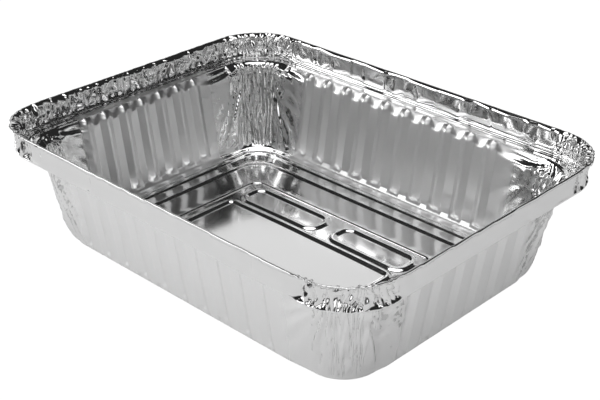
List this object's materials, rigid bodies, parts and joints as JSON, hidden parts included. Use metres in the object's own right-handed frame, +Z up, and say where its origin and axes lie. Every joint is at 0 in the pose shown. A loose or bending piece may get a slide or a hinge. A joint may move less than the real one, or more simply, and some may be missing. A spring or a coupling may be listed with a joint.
{
  "type": "aluminium foil tray",
  "caption": "Deep rectangular foil food container with tapering fluted walls, a lid ledge, an upright collar and a rolled rim",
  "frame": {"origin": "middle of the underside, at the base's lowest plane", "axes": "+Z up out of the open mouth, X along the long sides, Y along the short sides"},
  "size_m": [0.227, 0.1752, 0.0578],
  "materials": {
    "foil": "bright rolled aluminium foil, mirror-like with fine creases"
  },
  "bodies": {
    "root": {"foil_tray": "foil"}
  },
  "joints": []
}
